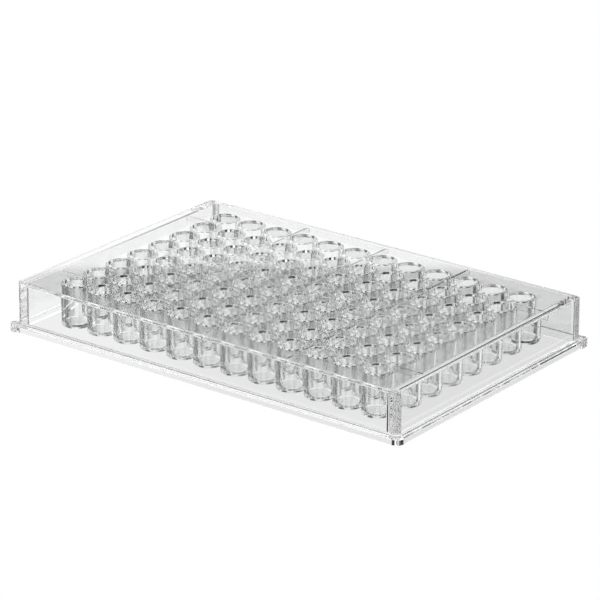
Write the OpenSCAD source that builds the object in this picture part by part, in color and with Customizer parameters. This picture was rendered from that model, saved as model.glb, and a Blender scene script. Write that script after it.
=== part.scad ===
// Clear flat-bottomed well plate, injection moulded in one piece.
// A thin deck carries rows of open, tapered wells. A drafted skirt holds the deck up, and stands
// on a base flange that is recessed underneath, so that a second plate nests on the first.
// The plate stands on z = 0 with its long side along X, centred on the Z axis.

/* [Plate] */
// Length over the base flange
plate_l = 127.76; // [118:0.01:160]
// Width over the base flange
plate_w = 85.48; // [80:0.01:110]
// Height from the foot to the top of the deck
plate_h = 14.2; // [13.4:0.1:24]

/* [Base flange] */
// Height of the flange
flange_h = 2.7; // [2:0.1:6]
// How far the flange stands out from the skirt
flange_step = 1.3; // [0.8:0.1:2.5]
// Radius of the flange's upright corners
flange_corner_r = 0.5; // [0.4:0.1:3]
// Radius along the flange's top edge
flange_edge_r = 0.3; // [0.1:0.1:0.5]
// Depth of the recess that nests on the deck of the plate below
nest_depth = 1.5; // [0.5:0.1:2.5]
// Clearance all round between the recess and the skirt that it nests on
nest_gap = 0.25; // [0.1:0.05:0.6]

/* [Skirt] */
// Wall thickness of the skirt's long sides
side_wall = 1.0; // [0.8:0.1:2.4]
// Wall thickness of the skirt's two ends
end_wall = 3.0; // [0.8:0.1:3.6]
// Draft of the skirt in degrees from upright
skirt_draft = 0.5; // [0.1:0.1:1.5]
// Radius of the skirt's upright corners at the foot
skirt_corner_r = 1.8; // [1.8:0.1:6]
// Radius along the top edge of the skirt
top_edge_r = 0.4; // [0.2:0.1:1]

/* [Deck] */
// Thickness of the deck
deck_t = 1.1; // [0.8:0.1:2]

/* [Wells] */
// Wells along X
well_cols = 12; // [4:1:12]
// Wells along Y
well_rows = 8; // [4:1:8]
// Distance between the middles of neighbouring wells
well_pitch = 9.0; // [7.5:0.1:9.6]
// Radius of a well at its mouth
well_r = 3.48; // [2.5:0.01:3.6]
// Draft of a well's wall in degrees from upright
well_draft = 1.0; // [0.2:0.1:2]
// Depth of a well from the deck's top to its floor
well_depth = 10.9; // [8:0.1:11.5]
// Thickness of a well's wall
well_wall = 0.8; // [0.4:0.05:0.9]
// Thickness of a well's floor
floor_t = 1.0; // [0.8:0.1:1.8]

/* [Ribs] */
// Thickness of the ribs under the deck
rib_t = 0.7; // [0.5:0.1:1.2]
// How far the ribs hang below the deck
rib_h = 1.5; // [1:0.1:8]
// Columns of wells from one cross rib to the next
cols_per_rib = 3; // [2:1:6]

/* [Hidden] */
$fn = 48;

plastic = [0.86, 0.88, 0.89, 0.55];

// Cutters run this far past the faces that they open
cut = 1;
// Pieces that fuse side by side share this much
weld = 0.05;

// Worked out sizes are kept to a micrometre, so that faces of different pieces meet exactly
function snap(size) = round(size * 1000) / 1000;

// The skirt measured at z = 0, where its drafted faces would meet the bench
skirt_l = snap(plate_l - 2 * flange_step + 2 * flange_h * tan(skirt_draft));
skirt_w = snap(plate_w - 2 * flange_step + 2 * flange_h * tan(skirt_draft));

// The hollow under the deck keeps the skirt's draft, one wall further in
hollow_l = skirt_l - 2 * end_wall;
hollow_w = skirt_w - 2 * side_wall;
hollow_h = plate_h - deck_t;
hollow_corner_r = max(skirt_corner_r - side_wall, 1);
hollow_edge_r = min(0.4, top_edge_r / 2);

// The recess in the foot takes the top of an equal plate, which is smaller than its foot by the draft
top_inset = snap(plate_h * tan(skirt_draft));
nest_l = skirt_l - 2 * top_inset + 2 * nest_gap;
nest_w = skirt_w - 2 * top_inset + 2 * nest_gap;
nest_corner_r = skirt_corner_r - top_inset + nest_gap;

// Middles of the first and last wells
first_x = -(well_cols - 1) / 2 * well_pitch;
first_y = -(well_rows - 1) / 2 * well_pitch;
well_spots = [
    for (col = [0:well_cols - 1]) for (row = [0:well_rows - 1])
        [first_x + col * well_pitch, first_y + row * well_pitch]
];

// Each well is a cone, and its outside is the same cone one wall further out
floor_z = plate_h - well_depth;
foot_z = floor_z - floor_t;
rib_foot_z = plate_h - deck_t - rib_h;
function bore_r(z) = well_r - (plate_h - z) * tan(well_draft);
function outer_r(z) = bore_r(z) + well_wall;

// Where a rib passes between two wells it widens until it joins both
throat_w = max(rib_t, well_pitch - 2 * outer_r(rib_foot_z) + 2 * weld);
throat_l = 2.4;
cross_rib_x = [
    for (col = [cols_per_rib:cols_per_rib:well_cols - 1]) (col - well_cols / 2) * well_pitch
];
// Gussets tie the end wells to the end walls, one row in from each side
gusset_y = (well_rows / 2 - 1) * well_pitch;

// Upright section of one side: drafted face, rounded top edge. It reaches r from the axis at the foot.
module side_section(r, h, edge_r, draft) {
    edge_x = r - (h - edge_r) * tan(draft) - edge_r / cos(draft);
    edge_z = h - edge_r;
    tangent = [edge_x + edge_r * cos(draft), edge_z + edge_r * sin(draft)];
    polygon([[0, 0], [r, 0], tangent, [edge_x, edge_z], [edge_x, h], [0, h]]);
    translate([edge_x, edge_z]) circle(edge_r);
}

// Whole section across the block: the corners' own section at each side, and what lies between
module cross_section(width, h, corner_r, edge_r, draft) {
    middle = width - 2 * corner_r;
    translate([-middle / 2, 0]) square([middle, h]);
    translate([middle / 2, 0]) side_section(corner_r, h, edge_r, draft);
    mirror([1, 0]) translate([middle / 2, 0]) side_section(corner_r, h, edge_r, draft);
}

// Block with drafted sides, round upright corners and a rounded top edge, l by w at its foot
module rounded_block(l, w, h, corner_r, edge_r, draft) {
    corner_x = l / 2 - corner_r;
    corner_y = w / 2 - corner_r;
    rotate([90, 0, 90])
        translate([0, 0, -corner_x])
            linear_extrude(2 * corner_x) cross_section(w, h, corner_r, edge_r, draft);
    rotate([90, 0, 0])
        translate([0, 0, -corner_y])
            linear_extrude(2 * corner_y) cross_section(l, h, corner_r, edge_r, draft);
    for (corner = [[1, 1, 0], [-1, 1, 90], [-1, -1, 180], [1, -1, 270]])
        translate([corner.x * corner_x, corner.y * corner_y, 0])
            rotate(corner.z)
                rotate_extrude(angle = 90) side_section(corner_r, h, edge_r, draft);
}

// Upright-sided cutter with round corners, opening downwards through z = 0
module recess_cutter(l, w, h, corner_r) {
    translate([0, 0, -cut]) linear_extrude(h + cut) {
        square([l - 2 * corner_r, w], center = true);
        square([l, w - 2 * corner_r], center = true);
        for (x = [-1, 1], y = [-1, 1])
            translate([x * (l / 2 - corner_r), y * (w / 2 - corner_r)]) circle(corner_r);
    }
}

module shell() {
    difference() {
        union() {
            rounded_block(plate_l, plate_w, flange_h, flange_corner_r, flange_edge_r, 0);
            rounded_block(skirt_l, skirt_w, plate_h, skirt_corner_r, top_edge_r, skirt_draft);
        }
        rounded_block(hollow_l, hollow_w, hollow_h, hollow_corner_r, hollow_edge_r, skirt_draft);
        recess_cutter(nest_l, nest_w, nest_depth, nest_corner_r);
    }
}

module well_outsides() {
    top_z = plate_h - deck_t / 2;
    for (spot = well_spots)
        translate([spot.x, spot.y, foot_z])
            cylinder(h = top_z - foot_z, r1 = outer_r(foot_z), r2 = outer_r(top_z));
}

module well_bores() {
    top_z = plate_h + cut;
    for (spot = well_spots)
        translate([spot.x, spot.y, floor_z])
            cylinder(h = top_z - floor_z, r1 = bore_r(floor_z), r2 = bore_r(top_z));
}

// Plan of a rib along X through the middle, wider beside each of its wells
module rib_plan(length, wells) {
    square([length, rib_t], center = true);
    for (i = [0:wells - 1])
        translate([(i - (wells - 1) / 2) * well_pitch, 0])
            square([throat_l, throat_w], center = true);
}

// Plan of a gusset from the last well, wider beside it, along X to the right-hand end wall
module gusset_plan(reach) {
    translate([-first_x, -rib_t / 2]) square([reach + first_x, rib_t]);
    translate([-first_x, 0]) square([throat_l, throat_w], center = true);
}

module ribs() {
    // Those that meet the skirt run into its wall, by half the wall's thickness
    lean = snap(hollow_h * tan(skirt_draft));
    cross_l = hollow_w + side_wall - 2 * lean;
    gusset_reach = (hollow_l + end_wall) / 2 - lean;
    translate([0, 0, rib_foot_z]) linear_extrude(rib_h + deck_t / 2) {
        rib_plan((well_cols - 1) * well_pitch, well_cols);
        for (x = cross_rib_x)
            translate([x, 0]) rotate(90) rib_plan(cross_l, well_rows);
        for (end = [0, 1], y = [-gusset_y, gusset_y])
            translate([0, y]) mirror([end, 0]) gusset_plan(gusset_reach);
    }
}

module well_plate() {
    color(plastic)
        difference() {
            union() {
                shell();
                well_outsides();
                ribs();
            }
            well_bores();
        }
}

well_plate();
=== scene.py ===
"""Looks of the clear well plate: one clear moulding, rebuilt as a fine mesh on the CAD frame."""
import math

import bpy
from mathutils import Matrix, Vector


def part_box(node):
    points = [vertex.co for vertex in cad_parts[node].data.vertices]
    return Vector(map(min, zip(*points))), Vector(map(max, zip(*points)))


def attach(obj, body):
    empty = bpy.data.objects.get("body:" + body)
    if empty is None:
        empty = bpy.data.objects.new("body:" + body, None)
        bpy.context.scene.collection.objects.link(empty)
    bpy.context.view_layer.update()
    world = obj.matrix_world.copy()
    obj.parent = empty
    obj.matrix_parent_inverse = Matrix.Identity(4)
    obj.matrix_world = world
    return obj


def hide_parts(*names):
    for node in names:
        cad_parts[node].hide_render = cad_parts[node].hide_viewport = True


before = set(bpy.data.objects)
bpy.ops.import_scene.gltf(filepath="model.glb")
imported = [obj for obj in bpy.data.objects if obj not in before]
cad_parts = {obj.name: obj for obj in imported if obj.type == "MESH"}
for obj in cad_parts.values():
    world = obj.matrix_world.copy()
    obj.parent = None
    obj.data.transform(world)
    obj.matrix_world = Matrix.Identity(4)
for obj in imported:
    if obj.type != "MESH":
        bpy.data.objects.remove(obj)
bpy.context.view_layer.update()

MM = 0.001
NODE = "well_plate"

# The plate's overall size comes from the frame. Its other sizes, in mm, are those of the CAD part.
low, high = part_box(NODE)
PLATE_L, PLATE_W, PLATE_H = ((high[i] - low[i]) / MM for i in range(3))
FLANGE_H = 2.7
FLANGE_STEP = 1.3
FLANGE_CORNER_R = 0.5
NEST_DEPTH = 1.5
NEST_GAP = 0.25
SIDE_WALL = 1.0
END_WALL = 3.0
SKIRT_DRAFT = math.radians(0.5)
SKIRT_CORNER_R = 1.8
DECK_T = 1.1
COLS, ROWS, PITCH = 12, 8, 9.0
WELL_R = 3.48
WELL_DRAFT = math.radians(1.0)
WELL_DEPTH = 10.9
WELL_WALL = 0.8
FLOOR_T = 1.0
RIB_T = 0.7
RIB_H = 1.5
COLS_PER_RIB = 3

# Small edge radii of the moulding, in mm
TOP_EDGE_R = 0.4
FLANGE_EDGE_R = 0.3
FOOT_EDGE_R = 0.2
INNER_EDGE_R = 0.2
HOLLOW_CORNER_R = 1.0
STEP_R = 0.25
MOUTH_R = 0.12
FLOOR_EDGE_R = 0.25
WELL_FOOT_R = 0.3

# Flat part of a section before its first rounded edge, on the shell and on the wells, in mm
LIP = 0.3
WELL_LIP = 1.0
# Overlap of a rib with the two wells that it passes between, in mm
OVERLAP = 0.1
# Length of a rib's wide part between two wells, in mm
THROAT_L = 2.4
# How far the cutters of the wells run past the deck, in mm
CUT = 1.0

# How finely round shapes are divided
CORNER_STEPS = 16
EDGE_STEPS = 6
WELL_STEPS = 64
WELL_EDGE_STEPS = 3
SHARP_ANGLE = math.radians(25)

PLASTIC_IOR = 1.59
PLASTIC_TINT = (0.985, 0.99, 0.988, 1)
# Share of light that the plastic takes up, per metre
ABSORPTION = 2.0
# The deck's underside is lightly frosted from this far outside the outer wells' middles, in mm
FROST_MARGIN = 4.4
FROST = 0.12
# Surfaces within this height of the underside count as the underside, in mm
LEVEL = 0.05


def skirt_inset(z):
    """How far the skirt's outer face lies inside the plate's outline at height z."""
    return FLANGE_STEP + (z - FLANGE_H) * math.tan(SKIRT_DRAFT)


def fillet(points, steps):
    """A polyline of (x, z, radius, tag) with each corner rounded to its radius, as (x, z, tag)."""
    out = []
    for i, (x, z, radius, tag) in enumerate(points):
        here = Vector((x, z))
        if radius == 0:
            out.append((x, z, tag))
            continue
        back = (Vector(points[i - 1][:2]) - here).normalized()
        ahead = (Vector(points[i + 1][:2]) - here).normalized()
        half = back.angle(ahead) / 2
        centre = here + (back + ahead).normalized() * (radius / math.sin(half))
        start = here + back * (radius / math.tan(half)) - centre
        turn = start.angle_signed(here + ahead * (radius / math.tan(half)) - centre)
        for step in range(steps + 1):
            p = centre + Matrix.Rotation(-turn * step / steps, 2) @ start
            out.append((p.x, p.y, tag))
    return out


def mesh_object(name, vertices, faces):
    mesh = bpy.data.meshes.new(name)
    mesh.from_pydata([(x * MM, y * MM, z * MM) for x, y, z in vertices], [], faces)
    mesh.update()
    obj = bpy.data.objects.new(name, mesh)
    bpy.context.scene.collection.objects.link(obj)
    return obj


def skin(rings):
    """Faces that join equal rings one after another, with a flat face across the first and the last."""
    n = len(rings[0])
    faces = [tuple(reversed(range(n)))]
    for i in range(len(rings) - 1):
        for j in range(n):
            k = (j + 1) % n
            faces.append((i * n + j, i * n + k, (i + 1) * n + k, (i + 1) * n + j))
    faces.append(tuple((len(rings) - 1) * n + j for j in range(n)))
    return [v for ring in rings for v in ring], faces


def plate_ring(inset, z, centre, thicker=0):
    """Rounded rectangle `inset` inside the plate's outline, whose corners turn about `centre` inside it.

    Both ends of the rectangle lie `thicker` further in."""
    x, y, r = PLATE_L / 2 - centre - thicker, PLATE_W / 2 - centre, centre - inset
    points = []
    for quarter, (sx, sy) in enumerate(((1, 1), (-1, 1), (-1, -1), (1, -1))):
        for step in range(CORNER_STEPS + 1):
            a = (quarter + step / CORNER_STEPS) * math.pi / 2
            points.append((sx * x + r * math.cos(a), sy * y + r * math.sin(a), z))
    return points


def make_shell():
    """Deck, skirt and base flange as one skin, from under the deck, round the foot, to the deck's top."""
    corner = skirt_inset(0) + SKIRT_CORNER_R
    hollow = (skirt_inset(0) + SIDE_WALL + HOLLOW_CORNER_R, END_WALL - SIDE_WALL)
    under = PLATE_H - DECK_T
    nest = skirt_inset(PLATE_H) - NEST_GAP
    section = fillet([
        (hollow[0] - LIP, under, 0, hollow),
        (skirt_inset(under) + SIDE_WALL, under, INNER_EDGE_R, hollow),
        (skirt_inset(NEST_DEPTH) + SIDE_WALL, NEST_DEPTH, FOOT_EDGE_R, hollow),
        (nest, NEST_DEPTH, FOOT_EDGE_R, (corner,)),
        (nest, 0, FOOT_EDGE_R, (corner,)),
        (0, 0, FOOT_EDGE_R, (FLANGE_CORNER_R,)),
        (0, FLANGE_H, FLANGE_EDGE_R, (FLANGE_CORNER_R,)),
        (skirt_inset(FLANGE_H), FLANGE_H, STEP_R, (corner,)),
        (skirt_inset(PLATE_H), PLATE_H, TOP_EDGE_R, (corner,)),
        (corner - LIP, PLATE_H, 0, (corner,)),
    ], EDGE_STEPS)
    return mesh_object(NODE, *skin([plate_ring(inset, z, *corners) for inset, z, corners in section]))


def well_spots():
    return [((c - (COLS - 1) / 2) * PITCH, (r - (ROWS - 1) / 2) * PITCH)
            for c in range(COLS) for r in range(ROWS)]


def lathe(name, section):
    """One revolved solid at every well. The section runs upwards as (radius, z, edge radius, tag)."""
    rings = [[(r * math.cos(a), r * math.sin(a), z)
              for a in ((k + 0.5) * 2 * math.pi / WELL_STEPS for k in range(WELL_STEPS))]
             for r, z, _ in fillet(section, WELL_EDGE_STEPS)]
    one, one_faces = skin(rings)
    vertices, faces = [], []
    for x, y in well_spots():
        first = len(vertices)
        vertices += [(x + px, y + py, pz) for px, py, pz in one]
        faces += [tuple(first + i for i in face) for face in one_faces]
    return mesh_object(name, vertices, faces)


def bore_r(z):
    return WELL_R - (PLATE_H - z) * math.tan(WELL_DRAFT)


def make_well_outsides():
    foot, top = PLATE_H - WELL_DEPTH - FLOOR_T, PLATE_H - DECK_T / 2
    return lathe("well_outsides", [
        (bore_r(foot) + WELL_WALL - WELL_LIP, foot, 0, None),
        (bore_r(foot) + WELL_WALL, foot, WELL_FOOT_R, None),
        (bore_r(top) + WELL_WALL, top, 0, None),
    ])


def make_well_bores():
    floor = PLATE_H - WELL_DEPTH
    return lathe("well_bores", [
        (bore_r(floor) - WELL_LIP, floor, 0, None),
        (bore_r(floor), floor, FLOOR_EDGE_R, None),
        (bore_r(PLATE_H), PLATE_H, MOUTH_R, None),
        (bore_r(PLATE_H) + MOUTH_R, PLATE_H, 0, None),
        (bore_r(PLATE_H) + MOUTH_R, PLATE_H + CUT, 0, None),
    ])


def boxes(name, rectangles, z0, z1):
    """Upright blocks from z0 to z1 on rectangles given as (middle x, middle y, length x, length y)."""
    vertices, faces = [], []
    for x, y, lx, ly in rectangles:
        first = len(vertices)
        for z in (z0, z1):
            vertices += [(x + sx * lx / 2, y + sy * ly / 2, z)
                         for sx, sy in ((-1, -1), (1, -1), (1, 1), (-1, 1))]
        sides = [(3, 2, 1, 0), (4, 5, 6, 7), (0, 1, 5, 4), (1, 2, 6, 5), (2, 3, 7, 6), (3, 0, 4, 7)]
        faces += [tuple(first + i for i in side) for side in sides]
    return mesh_object(name, vertices, faces)


def make_ribs():
    """Ribs under the deck: one between the end wells, cross ribs, and gussets that reach the end walls."""
    foot, top = PLATE_H - DECK_T - RIB_H, PLATE_H - DECK_T / 2
    end_x = (COLS - 1) / 2 * PITCH
    cross_x = [(c - COLS / 2) * PITCH for c in range(COLS_PER_RIB, COLS, COLS_PER_RIB)]
    cross_l = PLATE_W - 2 * skirt_inset(PLATE_H) - SIDE_WALL
    gusset = PLATE_L / 2 - skirt_inset(PLATE_H) - END_WALL / 2 - end_x
    gusset_y = (ROWS / 2 - 1) * PITCH
    corners = [(sx, sy) for sx in (-1, 1) for sy in (-1, 1)]
    throat_w = max(RIB_T, PITCH - 2 * (bore_r(foot) + WELL_WALL) + OVERLAP)
    along = [(0, 0, 2 * end_x, RIB_T)]
    along += [(sx * (end_x + gusset / 2), sy * gusset_y, gusset, RIB_T) for sx, sy in corners]
    across = [(x, 0, RIB_T, cross_l) for x in cross_x]
    throats = [((c - (COLS - 1) / 2) * PITCH, 0, THROAT_L, throat_w) for c in range(COLS)]
    throats += [(sx * end_x, sy * gusset_y, THROAT_L, throat_w) for sx, sy in corners]
    throats += [(x, (r - (ROWS - 1) / 2) * PITCH, throat_w, THROAT_L) for x in cross_x for r in range(ROWS)]
    return [boxes("ribs_along", along, foot, top),
            boxes("ribs_across", across, foot, top),
            boxes("rib_throats", throats, foot, top)]


def combine(obj, other, operation):
    """obj becomes the exact union with other, or the difference, and other is removed."""
    modifier = obj.modifiers.new("combine", "BOOLEAN")
    modifier.solver = "MANIFOLD"
    modifier.operation = operation
    modifier.object = other
    result = bpy.data.meshes.new_from_object(obj.evaluated_get(bpy.context.evaluated_depsgraph_get()))
    obj.modifiers.clear()
    obj.data = result
    bpy.data.objects.remove(other)


def make_plate():
    plate = make_shell()
    combine(plate, make_well_outsides(), "UNION")
    for ribs in make_ribs():
        combine(plate, ribs, "UNION")
    combine(plate, make_well_bores(), "DIFFERENCE")
    plate.data.shade_smooth()
    plate.data.set_sharp_from_angle(angle=SHARP_ANGLE)
    normals = plate.modifiers.new("flat_faces", "WEIGHTED_NORMAL")
    normals.keep_sharp = True
    return plate


def feed(tree, socket, value):
    """Sets a socket to a value, or links it from another node's output."""
    if isinstance(value, bpy.types.NodeSocket):
        tree.links.new(value, socket)
    else:
        socket.default_value = value


def node(tree, kind, **inputs):
    """A shader node with the named inputs fed."""
    made = tree.nodes.new(kind)
    for name, value in inputs.items():
        feed(tree, made.inputs[name.replace("_", " ")], value)
    return made


def blend(tree, factor, first, second):
    """The output of a mix shader that goes from the first shader node to the second."""
    made = node(tree, "ShaderNodeMixShader", Fac=factor)
    tree.links.new(first, made.inputs[1])
    tree.links.new(second, made.inputs[2])
    return made.outputs[0]


def new_material(name):
    material = bpy.data.materials.new(name)
    material.use_nodes = True
    material.node_tree.nodes.clear()
    return material, material.node_tree


def calc(tree, operation, *values):
    """The output of a math node whose inputs are numbers or other nodes' outputs."""
    made = tree.nodes.new("ShaderNodeMath")
    made.operation = operation
    for socket, value in zip(made.inputs, values):
        feed(tree, socket, value)
    return made.outputs[0]


def ramp(tree, value, x0, x1, y0, y1):
    """y0 where value is below x0, y1 where it is above x1, and a smooth step between them."""
    made = node(tree, "ShaderNodeMapRange", Value=value, From_Min=x0, From_Max=x1, To_Min=y0, To_Max=y1)
    made.interpolation_type = "SMOOTHSTEP"
    return made.outputs[0]


def frosted_border(tree):
    """1 on the border of the deck's underside, outside the field of wells, and 0 elsewhere."""
    place = tree.nodes.new("ShaderNodeTexCoord").outputs["Object"]
    axes = node(tree, "ShaderNodeSeparateXYZ", Vector=place)

    def past(axis, count):
        limit = ((count - 1) / 2 * PITCH + FROST_MARGIN) * MM
        return calc(tree, "GREATER_THAN", calc(tree, "ABSOLUTE", axes.outputs[axis]), limit)

    under = calc(tree, "COMPARE", axes.outputs["Z"], (PLATE_H - DECK_T) * MM, LEVEL * MM)
    return calc(tree, "MULTIPLY", calc(tree, "MAXIMUM", past("X", COLS), past("Y", ROWS)), under)


def clear_plastic():
    material, tree = new_material("clear_polystyrene")
    shader = node(tree, "ShaderNodeBsdfPrincipled", Base_Color=PLASTIC_TINT, IOR=PLASTIC_IOR,
                  Transmission_Weight=1.0, Roughness=calc(tree, "MULTIPLY", frosted_border(tree), FROST))
    out = tree.nodes.new("ShaderNodeOutputMaterial")
    tree.links.new(shader.outputs["BSDF"], out.inputs["Surface"])
    body = node(tree, "ShaderNodeVolumeAbsorption", Color=(0, 0, 0, 1), Density=ABSORPTION)
    tree.links.new(body.outputs["Volume"], out.inputs["Volume"])
    return material


# The camera stands at the photograph's angle, with a long lens. Its distance and height are in mm.
VIEW_AZIMUTH = math.radians(-37.297)
VIEW_ELEVATION = math.radians(21.395)
VIEW_ROLL = math.radians(-0.183)
VIEW_DISTANCE = 919.36
VIEW_HEIGHT = 7.0
SENSOR = 36.0
LENS = 208.28
SHIFT = (0.0038, 0.0236)
CLIP = (0.05, 50)


def make_camera():
    data = bpy.data.cameras.new("camera")
    data.sensor_width = SENSOR
    data.lens = LENS
    data.shift_x, data.shift_y = SHIFT
    data.clip_start, data.clip_end = CLIP
    camera = bpy.data.objects.new("camera", data)
    bpy.context.scene.collection.objects.link(camera)
    ahead = Vector((math.sin(VIEW_AZIMUTH) * math.cos(VIEW_ELEVATION),
                    math.cos(VIEW_AZIMUTH) * math.cos(VIEW_ELEVATION),
                    -math.sin(VIEW_ELEVATION)))
    place = Vector((0, 0, VIEW_HEIGHT)) - ahead * VIEW_DISTANCE
    camera.rotation_mode = "QUATERNION"
    roll = Matrix.Rotation(-VIEW_ROLL, 4, "Z").to_quaternion()
    camera.rotation_quaternion = ahead.to_track_quat("-Z", "Y") @ roll
    camera.location = place * MM
    bpy.context.scene.camera = camera


# Half the table's side, and how far its top lies under the plate, in mm
TABLE_REACH = 4000
TABLE_GAP = 0.02
PAPER = (0.8, 0.8, 0.8, 1)
WHITE = (1, 1, 1, 1)


def make_floor():
    """White table top. What the clear plastic shows is the studio, so its rays go on through the table."""
    material, tree = new_material("white_table")
    paper = node(tree, "ShaderNodeBsdfDiffuse", Color=PAPER)
    white = node(tree, "ShaderNodeEmission", Color=WHITE, Strength=1.0)
    clear = tree.nodes.new("ShaderNodeBsdfTransparent")
    path = tree.nodes.new("ShaderNodeLightPath")
    top = blend(tree, path.outputs["Is Camera Ray"], paper.outputs[0], white.outputs[0])
    passed = calc(tree, "MAXIMUM", path.outputs["Is Glossy Ray"], path.outputs["Is Transmission Ray"])
    top = blend(tree, passed, top, clear.outputs[0])
    out = tree.nodes.new("ShaderNodeOutputMaterial")
    tree.links.new(top, out.inputs["Surface"])
    corners = ((-1, -1), (1, -1), (1, 1), (-1, 1))
    floor = mesh_object("table_top", [(x * TABLE_REACH, y * TABLE_REACH, -TABLE_GAP) for x, y in corners],
                        [(0, 1, 2, 3)])
    floor.data.materials.append(material)


# The studio that the clear plastic shows, by direction. 1 is white. Angles are in degrees: heights are above
# the horizon, and sides are counted to the right of straight ahead. An edge is half the width of a soft edge.

# Panels all round, and the azimuth of one panel's middle. A gap opens where the cosine of the azimuth,
# run through once for each panel, falls through these values.
PANELS = 8
PANEL_TURN = 8.0
PANEL_LIT = 1.25
GAP_LIT = 0.02
GAP_FROM, GAP_TO = -0.5, -0.15
# Steeply downwards there are no gaps. The limits are those of a direction's Z.
STEEP_FROM, STEEP_TO = -0.8, -0.65
# The panel ahead is dimmer, by this share
FRONT_LIT = 0.72
FRONT_HALF, FRONT_EDGE = 16.0, 6.0
# Grey cards over the panels: the side they stand on, their half width, and the share of light they leave
CARDS = ((-66.0, 60.0, 0.55), (-39.0, 8.7, 0.2), (-72.0, 14.0, 0.2), (-121.0, 14.0, 0.2))
CARD_EDGE = 1.5
# Above the panels the wall is lit evenly
PANEL_TOP, PANEL_TOP_EDGE = 12.0, 0.004
WALL_LIT = 1.3
# Black board on the wall ahead. In its middle it starts higher up.
BOARD_HALF, BOARD_EDGE = 50.0, 6.0
STEP_TOP, STEP_TOP_EDGE = 20.6, 0.006
STEP_HALF, STEP_EDGE = 10.0, 1.0
# The side of the studio behind the camera is dimmer, by this share
BACK_SIDE, BACK_HALF, BACK_EDGE = 172.0, 50.0, 4.0
BACK_LIT = 0.72
# Lit ceiling. The limits are those of a direction's Z.
CEILING_FROM, CEILING_TO = 0.46, 0.52
CEILING_LIT = 1.6


class Studio:
    """Builds masks over the world's directions, each 1 inside its region and 0 outside it."""

    def __init__(self, tree):
        self.tree = tree
        place = tree.nodes.new("ShaderNodeTexCoord").outputs["Generated"]
        axes = node(tree, "ShaderNodeSeparateXYZ", Vector=place)
        self.z = axes.outputs["Z"]
        self.turn = calc(tree, "ARCTAN2", axes.outputs["X"], axes.outputs["Y"])

    def toward(self, side, half, edge):
        """Directions less than `half` from the one on the given side."""
        off = calc(self.tree, "SUBTRACT", self.turn, VIEW_AZIMUTH + math.radians(side))
        outer, inner = math.cos(math.radians(half + edge)), math.cos(math.radians(half - edge))
        return ramp(self.tree, calc(self.tree, "COSINE", off), outer, inner, 0, 1)

    def above(self, height, edge):
        """Directions more than `height` above the horizon, with an edge in terms of Z."""
        level = math.sin(math.radians(height))
        return ramp(self.tree, self.z, level - edge, level + edge, 0, 1)

    def dimmed(self, light, mask, left):
        """The light with only the share `left` of it inside the mask."""
        return calc(self.tree, "MULTIPLY", light, ramp(self.tree, mask, 0, 1, 1, left))

    def panels(self):
        """Light of the panels, with dark gaps between them, a dimmer panel ahead, and the grey cards."""
        tree = self.tree
        turn = calc(tree, "SUBTRACT", self.turn, math.radians(PANEL_TURN))
        wave = calc(tree, "COSINE", calc(tree, "MULTIPLY", turn, PANELS))
        light = ramp(tree, wave, GAP_FROM, GAP_TO, GAP_LIT, PANEL_LIT)
        light = calc(tree, "MAXIMUM", light, ramp(tree, self.z, STEEP_FROM, STEEP_TO, PANEL_LIT, 0))
        light = self.dimmed(light, self.toward(0, FRONT_HALF, FRONT_EDGE), FRONT_LIT)
        for side, half, left in CARDS:
            light = self.dimmed(light, self.toward(side, half, CARD_EDGE), left)
        return light

    def board(self):
        """The black board, between the panels and the ceiling."""
        step = self.dimmed(self.toward(0, STEP_HALF, STEP_EDGE), self.above(STEP_TOP, STEP_TOP_EDGE), 0)
        black = self.dimmed(self.above(PANEL_TOP, PANEL_TOP_EDGE), step, 0)
        black = self.dimmed(black, ramp(self.tree, self.z, CEILING_FROM, CEILING_TO, 0, 1), 0)
        return calc(self.tree, "MULTIPLY", black, self.toward(0, BOARD_HALF, BOARD_EDGE))


def make_world():
    world = bpy.data.worlds.new("studio")
    bpy.context.scene.world = world
    world.use_nodes = True
    tree = world.node_tree
    tree.nodes.clear()
    studio = Studio(tree)
    wall = calc(tree, "MULTIPLY", studio.above(PANEL_TOP, PANEL_TOP_EDGE), WALL_LIT)
    light = calc(tree, "MAXIMUM", studio.panels(), wall)
    light = studio.dimmed(light, studio.toward(BACK_SIDE, BACK_HALF, BACK_EDGE), BACK_LIT)
    light = studio.dimmed(light, studio.board(), 0)
    light = calc(tree, "MAXIMUM", light, ramp(tree, studio.z, CEILING_FROM, CEILING_TO, 0, CEILING_LIT))
    # The camera sees a white backdrop, and the table is lit from all sides
    path = tree.nodes.new("ShaderNodeLightPath")
    light = calc(tree, "MAXIMUM", light, path.outputs["Is Camera Ray"])
    light = calc(tree, "MAXIMUM", light, path.outputs["Is Diffuse Ray"])
    background = node(tree, "ShaderNodeBackground", Color=WHITE, Strength=light)
    out = tree.nodes.new("ShaderNodeOutputWorld")
    tree.links.new(background.outputs[0], out.inputs["Surface"])


# Light runs along inside the deck and walls by dozens of reflections before it comes out
BOUNCES = 96
CLAMP = 4.0


def set_render():
    scene = bpy.context.scene
    scene.view_settings.view_transform = "Standard"
    scene.cycles.max_bounces = BOUNCES
    scene.cycles.transmission_bounces = BOUNCES
    scene.cycles.glossy_bounces = BOUNCES
    scene.cycles.sample_clamp_indirect = CLAMP


make_camera()
make_world()
make_floor()
plate = make_plate()
plate.data.materials.clear()
plate.data.materials.append(clear_plastic())
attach(plate, "root")
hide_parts(NODE)
set_render()
